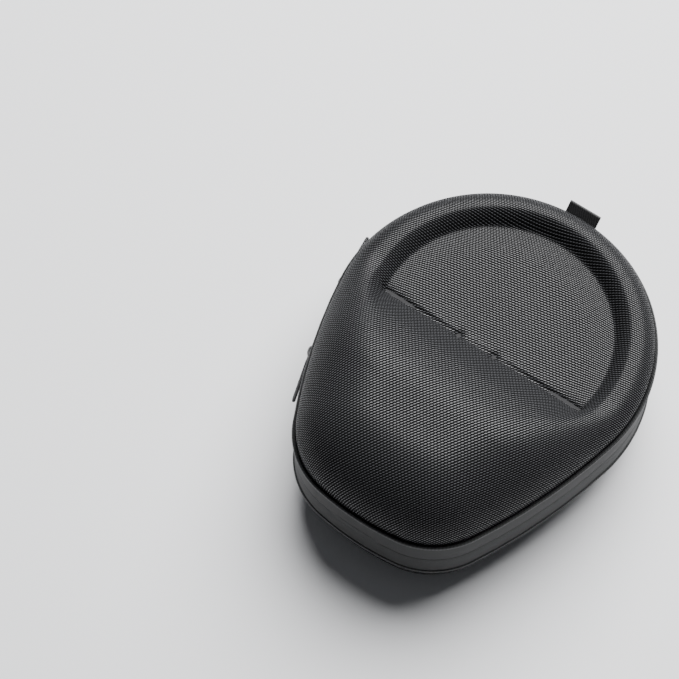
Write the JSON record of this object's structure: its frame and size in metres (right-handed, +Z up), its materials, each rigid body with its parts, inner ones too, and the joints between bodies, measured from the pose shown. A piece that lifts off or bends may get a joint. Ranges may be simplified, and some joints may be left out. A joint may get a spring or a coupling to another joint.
{
  "type": "headphone carrying case",
  "caption": "Clamshell carrying case for a headset: moulded fabric-covered lid and base, zipped band, hinged at the flat end, with a sunk round recess in the lid.",
  "frame": {"origin": "middle of the flat underside that the case rests on, halfway along the zipped band's length", "axes": "+Z up, +Y towards the round end with the pull tab, the hinge is along the flat end at -Y, +X to the right seen from the hinge"},
  "size_m": [0.205, 0.247, 0.104],
  "materials": {
    "nylon_weave": "matte",
    "eva_foam": "matte",
    "soft_lining": "matte",
    "zip_tape": "matte",
    "piping": "satin",
    "binding_tape": "matte",
    "zip_coil": "satin",
    "mesh": "matte",
    "elastic": "matte",
    "slider_metal": "satin",
    "puller_cord": "matte",
    "webbing": "matte"
  },
  "bodies": {
    "base": {"base_cover": "nylon_weave", "base_bottom_panel": "nylon_weave", "base_shell": "eva_foam", "base_lining": "soft_lining", "base_zip_band": "zip_tape", "base_piping": "piping", "base_binding": "binding_tape", "base_zip_coil": "zip_coil", "hinge_gusset": "binding_tape", "zip_end_stops": "slider_metal", "island_foam": "eva_foam", "island_cover": "soft_lining"},
    "lid": {"lid_cover": "nylon_weave", "lid_shell": "eva_foam", "lid_lining": "soft_lining", "lid_zip_band": "zip_tape", "lid_piping": "piping", "lid_binding": "binding_tape", "lid_zip_coil": "zip_coil", "pocket_mesh": "mesh", "pocket_binding": "binding_tape", "pocket_elastic": "elastic", "lid_pull_tab": "webbing"},
    "front_slider": {"front_slider": "slider_metal", "front_slider_crown": "slider_metal"},
    "front_puller": {"front_puller_link": "slider_metal", "front_puller_strap": "puller_cord"},
    "rear_slider": {"rear_slider": "slider_metal", "rear_slider_crown": "slider_metal"},
    "rear_puller": {"rear_puller_link": "slider_metal", "rear_puller_strap": "puller_cord"}
  },
  "joints": [
    {"name": "lid_hinge", "type": "hinge", "parent": "base", "child": "lid", "pos_m": [0, -0.12, 0.0475], "axis": [1, 0, 0], "range_deg": [0, 160]},
    {"name": "front_slider_run", "type": "hinge", "parent": "base", "child": "front_slider", "pos_m": [0, 0.022, 0.0475], "axis": [0, 0, -1], "range_deg": [0, 194.5]},
    {"name": "rear_slider_run", "type": "hinge", "parent": "base", "child": "rear_slider", "pos_m": [0.26187, 0.0741, 0.0475], "axis": [0, 0, 1], "range_deg": [-5.9, 7.6]},
    {"name": "front_puller_flip", "type": "hinge", "parent": "front_slider", "child": "front_puller", "pos_m": [-0.10046, 0.00896, 0.0475], "axis": [0, 0, 1], "range_deg": [0, 170]},
    {"name": "rear_puller_flip", "type": "hinge", "parent": "rear_slider", "child": "rear_puller", "pos_m": [-0.08793, -0.04116, 0.0475], "axis": [0, 0, -1], "range_deg": [0, 170]}
  ]
}
